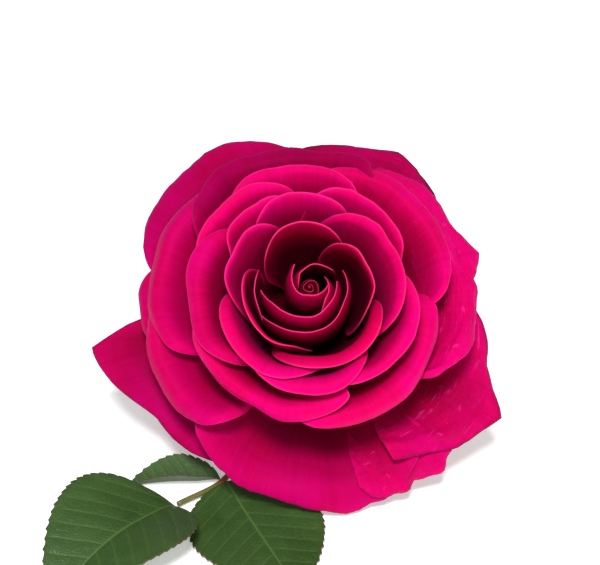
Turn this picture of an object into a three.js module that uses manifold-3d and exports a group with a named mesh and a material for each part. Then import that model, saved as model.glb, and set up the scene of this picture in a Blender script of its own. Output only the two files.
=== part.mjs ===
// A cut rose with a short stem and one leaf of three leaflets, lying on a table: +Z up, millimetres.
// The bloom faces -Y and upwards, the stem runs back towards +Y, and the leaf lies forward of it.
import * as THREE from "three";
import { mergeVertices } from "three/addons/utils/BufferGeometryUtils.js";
import Module from "manifold-3d";

const wasm = await Module();
wasm.setup();

// ---- Driving dimensions ----
const BLOOM_RADIUS = 60; // rim of the outermost petals from the bloom's axis
const BLOOM_DEPTH = 50; // petal bases to the rim of the cup, along the axis
const PETAL_THICKNESS = 0.3;
const RECEPTACLE_RADIUS = 8; // circle that the outermost petals grow inside
const HIP_LENGTH = 16;
const BLOOM_TILT = 48; // degrees that the bloom's axis rises above the table
const STEM_RADIUS = 2.6;
const STEM_REACH = 118; // how far the cut end lies behind the hip
const STEM_SWING = 16; // how far to one side the cut end lies
const SEPAL_LENGTH = 30;
const SEPAL_WIDTH = 8;
const SEPAL_THICKNESS = 0.5;
const LEAFLET_LENGTH = 56; // the largest of the three; the others are shares of it
const LEAFLET_WIDTH = 45;
const LEAF_THICKNESS = 0.4;
const RACHIS_RADIUS = 0.9;
const GAP = 0.3; // between pieces that touch

const DEG = Math.PI / 180;
const clamp01 = (x) => Math.min(1, Math.max(0, x));
const smooth = (x) => clamp01(x) ** 2 * (3 - 2 * clamp01(x));

// ---- Closed shells ----
// A closed sheet of even thickness about the surface at(t, q), with t from -1 to 1 and q from 0 to 1.
function sheet(at, across, along, thickness) {
  const middle = [];
  for (let j = 0; j <= along; j++)
    for (let i = 0; i <= across; i++)
      middle.push(at((2 * i) / across - 1, j / along));
  const index = (i, j) => j * (across + 1) + i;
  const point = (i, j) =>
    middle[
      index(Math.min(across, Math.max(0, i)), Math.min(along, Math.max(0, j)))
    ];
  const normals = middle.map((_, k) => {
    const i = k % (across + 1);
    const j = Math.floor(k / (across + 1));
    const sideways = point(i + 1, j).clone().sub(point(i - 1, j));
    const upwards = point(i, j + 1).clone().sub(point(i, j - 1));
    return sideways.cross(upwards).normalize();
  });
  const vertices = [];
  for (const side of [0.5, -0.5])
    middle.forEach((p, k) =>
      vertices.push(
        ...p.clone().addScaledVector(normals[k], side * thickness).toArray(),
      ),
    );
  const far = middle.length;
  const faces = [];
  const quad = (a, b, c, d) => faces.push(a, b, c, a, c, d);
  for (let j = 0; j < along; j++)
    for (let i = 0; i < across; i++) {
      const [a, b] = [index(i, j), index(i + 1, j)];
      const [c, d] = [index(i + 1, j + 1), index(i, j + 1)];
      quad(a, b, c, d);
      quad(far + a, far + d, far + c, far + b);
    }
  for (let i = 0; i < across; i++) {
    quad(index(i + 1, 0), index(i, 0), far + index(i, 0), far + index(i + 1, 0));
    quad(
      index(i, along),
      index(i + 1, along),
      far + index(i + 1, along),
      far + index(i, along),
    );
  }
  for (let j = 0; j < along; j++) {
    quad(index(0, j), index(0, j + 1), far + index(0, j + 1), far + index(0, j));
    quad(
      index(across, j + 1),
      index(across, j),
      far + index(across, j),
      far + index(across, j + 1),
    );
  }
  return new THREE.BufferGeometry()
    .setAttribute("position", new THREE.Float32BufferAttribute(vertices, 3))
    .setIndex(faces);
}

function tube(curve, radius, steps, sides) {
  const section = new THREE.Shape();
  for (let i = 0; i < sides; i++) {
    const a = (2 * Math.PI * i) / sides;
    section[i ? "lineTo" : "moveTo"](radius * Math.cos(a), radius * Math.sin(a));
  }
  section.closePath();
  return new THREE.ExtrudeGeometry(section, { steps, extrudePath: curve });
}

function solid(geometry) {
  const bare = geometry.clone();
  bare.deleteAttribute("normal");
  bare.deleteAttribute("uv");
  const merged = mergeVertices(bare, 1e-3);
  return new wasm.Manifold(
    new wasm.Mesh({
      numProp: 3,
      vertProperties: merged.attributes.position.array,
      triVerts: new Uint32Array(merged.index.array),
    }),
  );
}

function geometryOf(manifold) {
  const mesh = manifold.getMesh();
  return new THREE.BufferGeometry()
    .setAttribute("position", new THREE.BufferAttribute(mesh.vertProperties, 3))
    .setIndex(new THREE.BufferAttribute(mesh.triVerts, 1));
}

const material = (color, roughness = 0.6) =>
  new THREE.MeshStandardMaterial({ color, roughness, metalness: 0, side: THREE.DoubleSide });
const PETAL = material(0xd4005f, 0.55);
const HEART = material(0xa0003c, 0.55);
const LEAF = material(0x35602c, 0.5);
const GREEN = material(0x4e7a3a, 0.55);

function add(group, name, geometry, skin) {
  const mesh = new THREE.Mesh(geometry, skin);
  mesh.name = name;
  group.add(mesh);
  return mesh;
}

// ---- The bloom: nested cups ----
// Each layer is one curve from the receptacle to the rim, given by four points as [radius, height]:
// radii of base are shares of RECEPTACLE_RADIUS, the rest of BLOOM_RADIUS, and heights of BLOOM_DEPTH.
const LAYERS = [
  { base: [0.12, 0.06], belly: [0.05, 0.32], shoulder: [0.12, 0.7], rim: [0.015, 0.96] },
  { base: [0.27, 0.056], belly: [0.13, 0.24], shoulder: [0.24, 0.7], rim: [0.125, 0.965] },
  { base: [0.42, 0.048], belly: [0.2, 0.16], shoulder: [0.34, 0.76], rim: [0.285, 0.99] },
  { base: [0.55, 0.038], belly: [0.25, 0.1], shoulder: [0.4, 0.9], rim: [0.43, 1.02] },
  { base: [0.67, 0.026], belly: [0.3, 0.04], shoulder: [0.52, 0.98], rim: [0.6, 0.93] },
  { base: [0.79, 0.014], belly: [0.35, -0.02], shoulder: [0.64, 0.88], rim: [0.76, 0.74] },
  { base: [0.9, 0.002], belly: [0.4, -0.08], shoulder: [0.76, 0.64], rim: [0.91, 0.43] },
  { base: [1.0, -0.01], belly: [0.45, -0.12], shoulder: [0.88, 0.36], rim: [1.03, 0.13] },
  { base: [1.08, -0.02], belly: [0.5, -0.14], shoulder: [0.97, 0.1], rim: [1.13, -0.12] },
];
const LAYER_STEP = 2; // layer numbers between one row above and the next

// Catmull-Rom through the rows of LAYERS, so that layers between them keep their order.
function layerValue(key, axis, layer) {
  const last = LAYERS.length - 1;
  const x = Math.min(last, Math.max(0, layer / LAYER_STEP));
  const k = Math.min(last - 1, Math.floor(x));
  const v = (i) => {
    if (i < 0) return 2 * LAYERS[0][key][axis] - LAYERS[1][key][axis];
    if (i > last) return 2 * LAYERS[last][key][axis] - LAYERS[last - 1][key][axis];
    return LAYERS[i][key][axis];
  };
  const t = x - k;
  const [a, b, c, d] = [v(k - 1), v(k), v(k + 1), v(k + 2)];
  return (
    b +
    0.5 * t * (c - a + t * (2 * a - 5 * b + 4 * c - d + t * (3 * (b - c) + d - a)))
  );
}

// [radius, height] at share b of the way up layer.
function profile(layer, b) {
  const s = 1 - b;
  const weights = { base: s ** 3, belly: 3 * s * s * b, shoulder: 3 * s * b * b, rim: b ** 3 };
  let [radius, height] = [0, 0];
  for (const [key, weight] of Object.entries(weights)) {
    radius +=
      weight * layerValue(key, 0, layer) * (key === "base" ? RECEPTACLE_RADIUS : BLOOM_RADIUS);
    height += weight * layerValue(key, 1, layer) * BLOOM_DEPTH;
  }
  return [radius, height];
}

// One petal: at is the azimuth of its middle and half its half-width, in degrees; layer the cup it
// lies in; lean how many layers its far side lies outside its middle, and bow how many both do;
// reach how far up the cup it grows; round how far its shoulders fall; tip a point of that reach at
// tipAt of its half-width.
const PETALS = [
  // name, at, half, layer, lean, bow, reach, round, tip, tipAt
  ["core_petal_1", 250, 130, 0.1, -0.45, 1.4, 0.97, 0.04, 0, 0],
  ["core_petal_2", 85, 70, 1.95, -0.85, -0.5, 1.0, 0.08, 0, 0],
  ["core_petal_3", -30, 46, 1.35, -0.1, 0.1, 0.98, 0.08, 0, 0],
  ["core_petal_4", 262, 84, 2.15, -0.7, 0.7, 0.98, 0.06, 0.02, 0.7],
  ["core_petal_5", 184, 26, 4.0, 0, 0, 0.96, 0.12, 0, 0],
  ["core_petal_6", -82, 66, 3.05, -0.25, 0.45, 0.97, 0.12, 0.02, 0.8],
  ["core_petal_7", 22, 46, 4.3, -0.3, 0, 0.97, 0.16, 0, 0],
  ["core_petal_8", 95, 40, 4.45, 0, 0, 0.95, 0.16, 0, 0],
  ["core_petal_9", 215, 56, 4.6, 0.1, 0, 0.98, 0.18, 0, 0],
  ["core_petal_10", -60, 44, 5.15, 0, 0, 0.97, 0.16, 0, 0],
  ["inner_petal_1", -47, 20, 5.8, 0, 0, 0.9, 0.2, 0, 0],
  ["inner_petal_2", 155, 45, 5.9, 0, 0, 0.95, 0.18, 0, 0],
  ["inner_petal_3", 232, 52, 6.35, 0.1, 0, 0.96, 0.2, 0, 0],
  ["inner_petal_4", 25, 60, 6.2, -0.2, 0, 0.96, 0.18, 0, 0],
  ["inner_petal_5", 98, 42, 6.6, 0, 0, 0.98, 0.2, 0.03, 0.1],
  ["inner_petal_6", 130, 30, 7.05, 0, 0, 0.96, 0.2, 0, 0],
  ["inner_petal_7", -90, 42, 6.9, 0, 0, 0.95, 0.2, 0, 0],
  ["inner_petal_8", -30, 46, 7.35, 0, 0, 0.95, 0.2, 0, 0],
  ["inner_petal_9", 55, 38, 7.4, 0, 0, 0.97, 0.2, 0, 0],
  ["middle_petal_1", 185, 40, 7.9, 0, 0, 0.96, 0.2, 0, 0],
  ["middle_petal_2", 135, 38, 8.4, 0, 0, 0.96, 0.2, 0, 0],
  ["middle_petal_3", 240, 46, 8.6, 0, 0, 0.97, 0.2, 0, 0],
  ["middle_petal_4", 100, 36, 9.0, 0, 0, 0.98, 0.2, 0, 0],
  ["middle_petal_5", -48, 48, 9.2, 0, 0, 0.97, 0.2, 0, 0],
  ["middle_petal_6", 42, 44, 9.9, 0, 0, 0.98, 0.2, 0, 0],
  ["middle_petal_7", 104, 42, 10.5, 0, 0, 0.98, 0.2, 0, 0],
  ["outer_petal_1", 165, 40, 11.2, 0, 0, 0.98, 0.18, 0, 0],
  ["outer_petal_2", 218, 34, 11.8, 0, 0, 0.98, 0.2, 0, 0],
  ["outer_petal_3", 3, 40, 11.3, 0, 0, 0.97, 0.16, 0, 0],
  ["outer_petal_4", 34, 30, 11.9, 0, 0, 0.97, 0.2, 0.03, -0.5],
  ["outer_petal_5", 70, 28, 12.4, 0, 0, 0.97, 0.2, 0, 0],
  ["outer_petal_6", 178, 20, 12.3, 0, 0, 0.97, 0.2, 0, 0],
  ["outer_petal_7", -89, 47, 13.6, 0.5, 0, 1.05, 0.1, 0.05, 0.1],
  ["outer_petal_8", 128, 41, 13.5, 0, 0, 1.02, 0.12, 0, 0],
  ["outer_petal_9", 207, 38, 14.2, 0, 0, 0.9, 0.2, 0.42, -0.54],
  ["outer_petal_10", -30, 30, 14.5, 0, 0, 0.94, 0.2, 0.26, 0],
  ["outer_petal_11", -58, 18, 15.2, 0, 0, 0.97, 0.2, 0, 0],
];
const PETAL_ALONG = 7;
const CLAW_SHARE = 0.4; // a petal's half-angle where it grows from the receptacle, of its widest
const SEAT_STEP = 0.9; // layers between the seats of petals whose claws lie over each other
const TIP_SPREAD = 0.27;

// Each claw is seated outside those before it that it lies over.
const seats = [];
for (const [, at, half] of PETALS) {
  let seat = 0;
  PETALS.slice(0, seats.length).forEach(([, other, otherHalf], k) => {
    const apart = Math.abs(((at - other + 540) % 360) - 180);
    if (apart < CLAW_SHARE * (half + otherHalf) + 24) seat = Math.max(seat, seats[k] + SEAT_STEP);
  });
  seats.push(seat);
}

function petalPoint([, at, half, layer, lean, bow, reach, round, tip, tipAt], seat, t, q) {
  const u = Math.sin((t * Math.PI) / 2);
  const shoulders = 1 - round * (1 - Math.cos((t * Math.PI) / 2));
  const point = tip * Math.exp(-(((u - tipAt) / TIP_SPREAD) ** 2));
  const b = q * (reach * shoulders + point);
  const spread = CLAW_SHARE + (1 - CLAW_SHARE) * smooth((b - 0.08) / 0.6);
  const azimuth = (at + half * spread * u) * DEG;
  const rimLayer = layer + lean * u + bow * u * u;
  const [radius, height] = profile(seat + (rimLayer - seat) * smooth(b / 0.4), b);
  return new THREE.Vector3(radius * Math.cos(azimuth), radius * Math.sin(azimuth), height);
}

const bloom = new THREE.Group();
PETALS.forEach((row, k) => {
  const across = 2 * Math.ceil((row[2] + 30) / 18);
  const shape = sheet(
    (t, q) => petalPoint(row, seats[k], t, q),
    across,
    PETAL_ALONG,
    PETAL_THICKNESS,
  );
  add(bloom, row[0], shape, row[0].startsWith("core") ? HEART : PETAL);
});


// ---- The hip: a domed receptacle that the petals grow from, on a round urn ----
const dome = LAYERS.map(({ base }) => [
  base[0] * RECEPTACLE_RADIUS,
  base[1] * BLOOM_DEPTH - GAP - PETAL_THICKNESS,
]);
const hipProfile = [
  [0, -HIP_LENGTH],
  [STEM_RADIUS * 1.15, -HIP_LENGTH],
  [STEM_RADIUS * 1.5, -HIP_LENGTH * 0.9],
  [RECEPTACLE_RADIUS * 0.78, -HIP_LENGTH * 0.62],
  [RECEPTACLE_RADIUS * 0.95, -HIP_LENGTH * 0.36],
  [RECEPTACLE_RADIUS * 1.0, -HIP_LENGTH * 0.16],
  ...dome.reverse(),
  [0, dome[dome.length - 1][1]],
].map(([r, z]) => new THREE.Vector2(r, z));
const hip = new THREE.LatheGeometry(hipProfile, 20).rotateX(Math.PI / 2);
add(bloom, "hip", hip, GREEN);

// ---- Sepals: five, bent back under the bloom ----
const SEPAL_COUNT = 5;
const SEPAL_FIRST = 18; // azimuth of the first, in degrees
function sepalPoint(azimuth, t, q) {
  const start = new THREE.Vector2(RECEPTACLE_RADIUS + GAP + SEPAL_THICKNESS, -HIP_LENGTH * 0.18);
  const curve = new THREE.CubicBezierCurve(
    start,
    start.clone().add(new THREE.Vector2(SEPAL_LENGTH * 0.28, -SEPAL_LENGTH * 0.06)),
    start.clone().add(new THREE.Vector2(SEPAL_LENGTH * 0.52, -SEPAL_LENGTH * 0.3)),
    start.clone().add(new THREE.Vector2(SEPAL_LENGTH * 0.5, -SEPAL_LENGTH * 0.78)),
  );
  const { x: radius, y: height } = curve.getPoint(q);
  const half = (SEPAL_WIDTH / 2) * (0.35 + 0.65 * Math.sin(Math.PI * (0.25 + 0.6 * q))) * (1 - q ** 3) + 0.25;
  const [c, s] = [Math.cos(azimuth), Math.sin(azimuth)];
  return new THREE.Vector3(
    radius * c - half * t * s,
    radius * s + half * t * c,
    height + 0.8 * t * t,
  );
}
for (let i = 0; i < SEPAL_COUNT; i++) {
  const azimuth = (SEPAL_FIRST + (360 / SEPAL_COUNT) * i) * DEG;
  add(bloom, `sepal_${i + 1}`, sheet((t, q) => sepalPoint(azimuth, t, q), 2, 8, SEPAL_THICKNESS), GREEN);
}

// ---- Lay the bloom down: its lowest petal rests on the leaflet under it ----
bloom.rotation.x = (90 - BLOOM_TILT) * DEG;
bloom.updateMatrixWorld(true);
bloom.position.z = LEAF_THICKNESS + 2 * GAP - new THREE.Box3().setFromObject(bloom, true).min.z;
bloom.updateMatrixWorld(true);

const rose = new THREE.Group();
rose.add(bloom);

// ---- The stem: leaves the hip along the bloom's axis, bends and comes down to its cut end ----
const neck = new THREE.Vector3(0, 0, -HIP_LENGTH - GAP).applyMatrix4(bloom.matrixWorld);
const axis = new THREE.Vector3(0, 0, 1).transformDirection(bloom.matrixWorld);
const cutEnd = new THREE.Vector3(STEM_SWING, neck.y + STEM_REACH, STEM_RADIUS);
const stemCurve = new THREE.CubicBezierCurve3(
  neck,
  neck.clone().addScaledVector(axis, -0.17 * STEM_REACH),
  cutEnd.clone().add(new THREE.Vector3(-0.3 * STEM_SWING, -0.5 * STEM_REACH, 0.03 * STEM_REACH)),
  cutEnd,
);
const PRICKLES = [
  // share along the stem, degrees round it from straight up
  [0.36, -70],
  [0.55, 60],
  [0.72, -20],
];
const PRICKLE_LENGTH = 4.5;
let stemSolid = solid(tube(stemCurve, STEM_RADIUS, 22, 12));
for (const [share, turn] of PRICKLES) {
  const along = stemCurve.getTangentAt(share);
  const out = new THREE.Vector3(0, 0, 1)
    .addScaledVector(along, -along.z)
    .normalize()
    .applyAxisAngle(along, turn * DEG);
  const prickle = new THREE.ConeGeometry(1.5, PRICKLE_LENGTH + STEM_RADIUS, 7)
    .translate(0, (PRICKLE_LENGTH + STEM_RADIUS) / 2, 0)
    .applyQuaternion(
      new THREE.Quaternion().setFromUnitVectors(
        new THREE.Vector3(0, 1, 0),
        out.clone().addScaledVector(along, 0.35).normalize(),
      ),
    )
    .translate(...stemCurve.getPointAt(share).toArray());
  stemSolid = stemSolid.add(solid(prickle));
}
add(rose, "stem", geometryOf(stemSolid), GREEN);

// ---- The leaf: one rachis from the stem, a pair of side leaflets and an end leaflet ----
const LEAF_JOIN = 0.13; // share of the stem's length where the leaf grows
const joinSide = new THREE.Vector3(-1, 0, -0.2).normalize();
const rachisStart = stemCurve
  .getPointAt(LEAF_JOIN)
  .addScaledVector(joinSide, STEM_RADIUS + 2 * GAP);
const pairPoint = new THREE.Vector3(-0.46 * BLOOM_RADIUS, -0.54 * BLOOM_RADIUS, 1.4);
const endPoint = new THREE.Vector3(-0.7 * BLOOM_RADIUS, -0.75 * BLOOM_RADIUS, 1.4);
const rachisCurve = new THREE.CatmullRomCurve3([
  rachisStart,
  new THREE.Vector3(-0.27 * BLOOM_RADIUS, 0.12 * BLOOM_RADIUS, 8),
  new THREE.Vector3(-0.4 * BLOOM_RADIUS, -0.28 * BLOOM_RADIUS, 3),
  pairPoint,
  endPoint,
]);
add(rose, "leaf_rachis", tube(rachisCurve, RACHIS_RADIUS, 20, 6), GREEN);

// Each leaflet runs from base along heading, in degrees from -X towards -Y, and settles flat on the
// table; long and wide are shares of the largest, and fold is how steeply its halves rise.
const LEAFLETS = [
  // name, base, heading, long, wide, fold
  ["leaflet_end", endPoint, 55, 1, 1, 12],
  ["leaflet_right", pairPoint, 115, 1, 0.94, 0],
  ["leaflet_left", pairPoint, 2, 0.5, 0.36, 60],
];
const LEAFLET_STALK = 1.2; // bare stretch between the rachis and a leaflet's blade
const FOLD_OPENS = 4.5; // a blade narrower than this on each side of its midrib flattens out
function leafletPoint([, base, heading, long, wide, fold], t, q) {
  const ahead = new THREE.Vector3(-Math.cos(heading * DEG), -Math.sin(heading * DEG), 0);
  const aside = new THREE.Vector3(ahead.y, -ahead.x, 0);
  const forward = LEAFLET_STALK + GAP + long * LEAFLET_LENGTH * q;
  const half = 0.35 + ((wide * LEAFLET_WIDTH) / 2) * Math.sin(Math.PI * q ** 0.85) ** 0.8;
  const low = LEAF_THICKNESS / 2;
  const rise = fold * smooth(half / FOLD_OPENS) * DEG;
  const height = base.z + (low - base.z) * smooth(q / 0.3) + Math.abs(t) * half * Math.sin(rise);
  return new THREE.Vector3(base.x, base.y, height)
    .addScaledVector(ahead, forward)
    .addScaledVector(aside, half * t * Math.cos(rise));
}
for (const row of LEAFLETS)
  add(rose, row[0], sheet((t, q) => leafletPoint(row, t, q), 4, 9, LEAF_THICKNESS), LEAF);

// ---- The base of the whole stands centred on the origin ----
rose.updateMatrixWorld(true);
const bounds = new THREE.Box3().setFromObject(rose, true);
const centre = bounds.getCenter(new THREE.Vector3());
rose.position.set(-centre.x, -centre.y, -bounds.min.z);
rose.updateMatrixWorld(true);
export default rose;
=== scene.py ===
import math

import bpy
import numpy as np
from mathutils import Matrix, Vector


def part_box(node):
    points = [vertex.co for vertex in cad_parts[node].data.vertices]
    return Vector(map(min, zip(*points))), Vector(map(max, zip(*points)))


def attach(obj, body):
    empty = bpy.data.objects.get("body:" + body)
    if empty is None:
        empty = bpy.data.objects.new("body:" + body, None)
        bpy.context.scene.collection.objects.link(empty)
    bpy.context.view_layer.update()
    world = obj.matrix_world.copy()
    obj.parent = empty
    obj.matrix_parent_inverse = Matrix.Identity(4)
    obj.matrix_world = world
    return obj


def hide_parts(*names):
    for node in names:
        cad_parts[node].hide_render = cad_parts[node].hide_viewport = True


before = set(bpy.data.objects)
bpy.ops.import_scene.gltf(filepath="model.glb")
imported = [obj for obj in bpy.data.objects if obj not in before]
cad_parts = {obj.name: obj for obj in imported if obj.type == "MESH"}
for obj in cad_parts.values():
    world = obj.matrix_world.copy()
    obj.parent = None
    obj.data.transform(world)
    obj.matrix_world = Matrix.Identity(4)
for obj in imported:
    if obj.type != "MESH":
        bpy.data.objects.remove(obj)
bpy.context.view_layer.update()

# ---- The CAD model's dimensions, in millimetres ----
BLOOM_RADIUS = 60.0
BLOOM_DEPTH = 50.0
RECEPTACLE_RADIUS = 8.0
HIP_LENGTH = 16.0
BLOOM_TILT = 48.0
STEM_RADIUS = 2.6
STEM_REACH = 118.0
STEM_SWING = 16.0
SEPAL_LENGTH = 30.0
SEPAL_WIDTH = 8.0
LEAFLET_LENGTH = 56.0
LEAFLET_WIDTH = 45.0
RACHIS_RADIUS = 0.9
GAP = 0.3
MM = 0.001

# ---- The visual model's own sizes, in millimetres ----
PETAL_SHEET = 0.42
SEPAL_SHEET = 0.55
LEAFLET_SHEET = 0.38
RIM_HIGHLIGHT_WIDTH = 0.6  # width of the painted highlight along a petal's rim, a pale line where the edge catches the light
OUTER_SHADE, INNER_SHADE = 70.0, 46.0  # how far down from the rim a petal's colour goes on darkening into painted shade, standing in for the shade deep in the cup
TOOTH_PITCH = 2.5
FLOOR_DROP = 0.4  # how far the floor lies under the model, which rests on Z = 0
FLOOR_REACH = 6000.0


def smooth(x):
    x = np.clip(x, 0.0, 1.0)
    return x * x * (3 - 2 * x)


# ---- Noise: smooth, seeded, the same on every run ----
def lattice(ix, iy, seed):
    h = (ix.astype(np.int64) * 374761393 + iy.astype(np.int64) * 668265263 + seed * 974634777) & 0xFFFFFFFF
    h = ((h ^ (h >> 13)) * 1274126177) & 0xFFFFFFFF
    return ((h ^ (h >> 16)) & 0xFFFF) / 32767.5 - 1.0


def noise(x, y, seed=0):
    x, y = np.broadcast_arrays(np.asarray(x, float), np.asarray(y, float))
    ix, iy = np.floor(x), np.floor(y)
    fx, fy = smooth(x - ix), smooth(y - iy)
    a, b = lattice(ix, iy, seed), lattice(ix + 1, iy, seed)
    c, d = lattice(ix, iy + 1, seed), lattice(ix + 1, iy + 1, seed)
    return (a * (1 - fx) + b * fx) * (1 - fy) + (c * (1 - fx) + d * fx) * fy


def kinked(u, knots, seed):
    """Nearly straight stretches between random heights, with the corners slightly eased, for u from -1 to 1."""
    places = np.linspace(-1.4, 1.4, knots)
    shifted = places + 0.6 * (places[1] - places[0]) * noise(np.arange(knots) * 1.7 + 0.3, 0.5, seed)
    heights = noise(np.arange(knots) * 2.3 + 0.9, 8.5, seed + 1)
    return sum(np.interp(u + d, shifted, heights) for d in (-0.04, 0.0, 0.04)) / 3


# ---- Meshes ----
def mesh_object(name, verts, faces, uv, values, material, replaces):
    """faces is a list of integer arrays with 3 or 4 columns; uv, which may be None, and values are per vertex."""
    mesh = bpy.data.meshes.new(name)
    verts = np.asarray(verts, np.float32) * MM
    mesh.vertices.add(len(verts))
    mesh.vertices.foreach_set("co", verts.ravel())
    loops = np.concatenate([f.ravel() for f in faces]).astype(np.int32)
    totals = np.concatenate([np.full(len(f), f.shape[1]) for f in faces]).astype(np.int32)
    starts = np.concatenate([[0], np.cumsum(totals)[:-1]]).astype(np.int32)
    mesh.loops.add(len(loops))
    mesh.loops.foreach_set("vertex_index", loops)
    mesh.polygons.add(len(totals))
    mesh.polygons.foreach_set("loop_start", starts)
    mesh.update(calc_edges=True)
    mesh.validate()
    mesh.polygons.foreach_set("use_smooth", np.full(len(mesh.polygons), True))
    if uv is not None:
        layer = mesh.uv_layers.new(name="growth")
        index = np.zeros(len(mesh.loops), np.int32)
        mesh.loops.foreach_get("vertex_index", index)
        layer.data.foreach_set("uv", np.asarray(uv, np.float32)[index].ravel())
    for key, value in values.items():
        attribute = mesh.attributes.new(key, "FLOAT", "POINT")
        attribute.data.foreach_set("value", np.asarray(value, np.float32).ravel())
    obj = bpy.data.objects.new(name, mesh)
    bpy.context.scene.collection.objects.link(obj)
    mesh.materials.append(material)
    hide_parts(*replaces)
    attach(obj, "root")


def shell(points, thickness):
    """A closed sheet about a grid of points (rows, columns, 3), thinning to a soft margin."""
    rows, cols = points.shape[:2]
    du = np.gradient(points, axis=1)
    dv = np.gradient(points, axis=0)
    normal = np.cross(du, dv)
    normal /= np.linalg.norm(normal, axis=2, keepdims=True) + 1e-12
    i = np.arange(cols)[None, :]
    j = np.arange(rows)[:, None]
    from_edge = np.minimum(np.minimum(i, cols - 1 - i), rows - 1 - j)
    taper = np.where(from_edge <= 0, 0.55, np.where(from_edge == 1, 0.9, 1.0))[..., None]
    half = 0.5 * thickness * taper
    front, back = points + normal * half, points - normal * half
    verts = np.concatenate([front.reshape(-1, 3), back.reshape(-1, 3)])
    index = np.arange(rows * cols).reshape(rows, cols)
    a, b, c, d = index[:-1, :-1], index[:-1, 1:], index[1:, 1:], index[1:, :-1]
    quads = np.stack([a, b, c, d], -1).reshape(-1, 4)
    far = rows * cols
    ring = np.concatenate([index[0, :], index[1:, -1], index[-1, -2::-1], index[-2:0:-1, 0]])
    nxt = np.roll(ring, -1)
    rim = np.stack([nxt, ring, ring + far, nxt + far], -1)
    return verts, [quads, quads[:, ::-1] + far, rim]


def ring_faces(rings, sides):
    """Faces of stacked rings, whose lower and upper cap centres are the two vertices after the rings."""
    k = np.arange(sides)
    nxt = (k + 1) % sides
    quads = [
        np.stack([j * sides + k, j * sides + nxt, (j + 1) * sides + nxt, (j + 1) * sides + k], -1)
        for j in range(rings - 1)
    ]
    low, top = rings * sides, (rings - 1) * sides
    caps = [np.stack([nxt, k, np.full(sides, low)], -1), np.stack([top + k, top + nxt, np.full(sides, low + 1)], -1)]
    return [np.concatenate(quads), np.concatenate(caps)]


def tube(path, radii, sides):
    """A closed tube along path (n, 3) with a radius at each point."""
    path = np.asarray(path, float)
    tangent = np.gradient(path, axis=0)
    tangent /= np.linalg.norm(tangent, axis=1, keepdims=True)
    side = np.cross(tangent[0], [0.0, 0.0, 1.0])
    if np.linalg.norm(side) < 1e-3:
        side = np.cross(tangent[0], [0.0, 1.0, 0.0])
    frames = []
    for t in tangent:
        side = side - t * np.dot(side, t)
        side /= np.linalg.norm(side)
        frames.append((side, np.cross(t, side)))
    angle = np.linspace(0, 2 * np.pi, sides, endpoint=False)
    rings = [
        p + r * (np.cos(angle)[:, None] * s + np.sin(angle)[:, None] * w)
        for p, r, (s, w) in zip(path, radii, frames)
    ]
    verts = np.concatenate(rings + [path[:1], path[-1:]])
    n = len(path)
    k = np.arange(sides)
    faces = []
    for j in range(n - 1):
        a, b = j * sides + k, j * sides + (k + 1) % sides
        faces.append(np.stack([a, a + sides, b + sides, b], -1))
    first, last, top = n * sides, n * sides + 1, (n - 1) * sides
    caps = [
        np.stack([np.full(sides, first), k, (k + 1) % sides], -1),
        np.stack([np.full(sides, last), top + (k + 1) % sides, top + k], -1),
    ]
    return verts, [np.concatenate(faces), np.concatenate(caps)]


# ---- Materials ----
def node(tree, kind, inputs=None, **settings):
    n = tree.nodes.new(kind)
    for key, value in settings.items():
        setattr(n, key, value)
    for key, value in (inputs or {}).items():
        if isinstance(value, bpy.types.NodeSocket):
            tree.links.new(value, n.inputs[key])
        else:
            n.inputs[key].default_value = value
    return n


def ramp(tree, factor, stops):
    n = node(tree, "ShaderNodeValToRGB", {"Fac": factor})
    n.color_ramp.interpolation = "EASE"
    elements = n.color_ramp.elements
    while len(elements) < len(stops):
        elements.new(0.5)
    for element, (position, colour) in zip(elements, stops):
        element.position = position
        element.color = (*colour, 1.0)
    return n.outputs["Color"]


def mixed(tree, factor, a, b, blend="MIX"):
    n = node(tree, "ShaderNodeMix", data_type="RGBA", blend_type=blend)
    for socket, value in ((n.inputs[0], factor), (n.inputs[6], a), (n.inputs[7], b)):
        if isinstance(value, bpy.types.NodeSocket):
            tree.links.new(value, socket)
        else:
            socket.default_value = value if isinstance(value, float) else (*value, 1.0)
    return n.outputs[2]


def math_node(tree, operation, a, b=0.0, c=0.0, clamp=False):
    n = node(tree, "ShaderNodeMath", operation=operation, use_clamp=clamp)
    for socket, value in zip(n.inputs, (a, b, c)):
        if isinstance(value, bpy.types.NodeSocket):
            tree.links.new(value, socket)
        else:
            socket.default_value = value
    return n.outputs[0]


def span(tree, value, low, high, to_low=0.0, to_high=1.0):
    n = node(
        tree,
        "ShaderNodeMapRange",
        {"Value": value, "From Min": low, "From Max": high, "To Min": to_low, "To Max": to_high},
        interpolation_type="SMOOTHSTEP",
    )
    return n.outputs["Result"]


def noise_node(tree, vector, scale, **inputs):
    values = {"Vector": vector, "Scale": scale, **{key.title(): value for key, value in inputs.items()}}
    return node(tree, "ShaderNodeTexNoise", values).outputs["Fac"]


def attribute(tree, name):
    return node(tree, "ShaderNodeAttribute", attribute_name=name).outputs["Fac"]


def new_material(name):
    material = bpy.data.materials.new(name)
    material.use_nodes = True
    tree = material.node_tree
    tree.nodes.clear()
    return material, tree, node(tree, "ShaderNodeOutputMaterial")


WORN_COLOUR = (0.09, 0.004, 0.016)


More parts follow.
